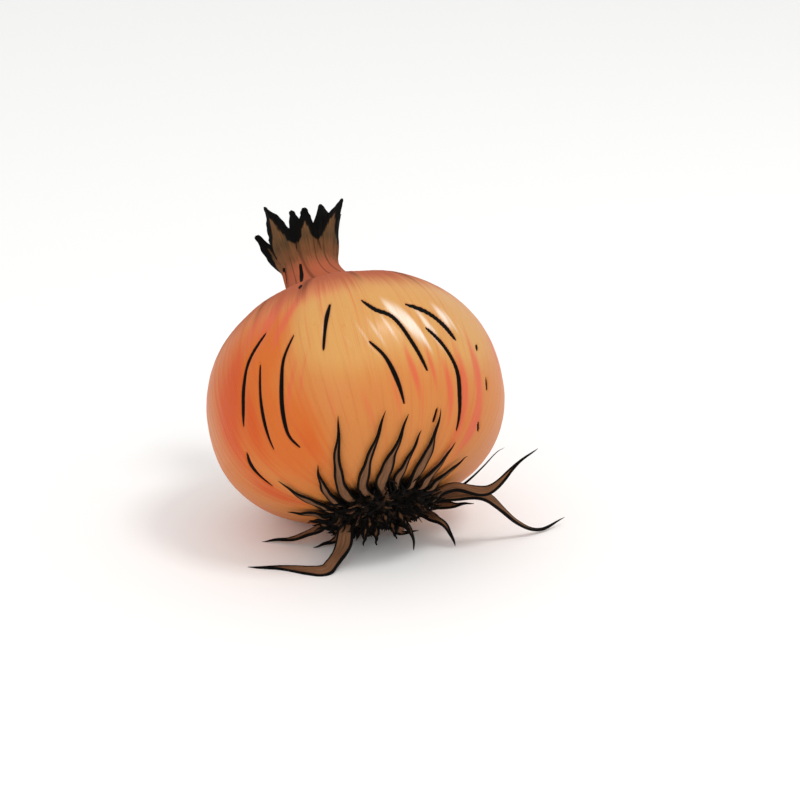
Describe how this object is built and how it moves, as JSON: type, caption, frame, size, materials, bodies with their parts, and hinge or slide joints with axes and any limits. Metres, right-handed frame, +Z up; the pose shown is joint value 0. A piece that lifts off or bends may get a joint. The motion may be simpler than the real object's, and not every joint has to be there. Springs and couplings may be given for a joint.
{
  "type": "onion",
  "caption": "Whole dry onion lying tilted on its flank, with a short neck of ragged leaf ends and a tuft of wiry roots at its lower front.",
  "frame": {"origin": "middle of the small flat spot on the flank that the bulb rests on", "axes": "+Z up from the table; the neck points back (+Y), up and a little to the left (-X); the root end faces forward (-Y) and down"},
  "size_m": [0.0925, 0.0834, 0.0796],
  "materials": {
    "dry_skin": "papery golden orange skin with fine lengthwise veins and a soft gloss",
    "dry_leaf": "dry, fibrous and matt, brown at the foot and near black at the point",
    "root_plate": "matt and crumbly, very dark brown",
    "dry_root": "dry, wrinkled and matt, brown with dark edges"
  },
  "bodies": {
    "root": {"bulb": "dry_skin", "neck_leaf_back": "dry_leaf", "neck_leaf_back_left": "dry_leaf", "neck_leaf_back_middle": "dry_leaf", "neck_leaf_back_right": "dry_leaf", "neck_leaf_front": "dry_leaf", "neck_leaf_front_left": "dry_leaf", "neck_leaf_front_right": "dry_leaf", "neck_leaf_low_left": "dry_leaf", "neck_leaf_right": "dry_leaf", "root_clinging_01": "dry_root", "root_clinging_02": "dry_root", "root_clinging_03": "dry_root", "root_clinging_04": "dry_root", "root_clinging_05": "dry_root", "root_clinging_06": "dry_root", "root_clinging_07": "dry_root", "root_clinging_08": "dry_root", "root_clinging_09": "dry_root", "root_clinging_10": "dry_root", "root_clinging_11": "dry_root", "root_front_long": "dry_root", "root_front_right": "dry_root", "root_left_low": "dry_root", "root_left_short": "dry_root", "root_plate": "root_plate", "root_right_front": "dry_root", "root_right_high": "dry_root", "root_right_low": "dry_root", "root_right_short": "dry_root", "root_tuft_01": "dry_root", "root_tuft_02": "dry_root", "root_tuft_03": "dry_root", "root_tuft_04": "dry_root", "root_tuft_05": "dry_root", "root_tuft_06": "dry_root", "root_tuft_07": "dry_root", "root_under_left": "dry_root", "root_under_right": "dry_root"}
  },
  "joints": []
}
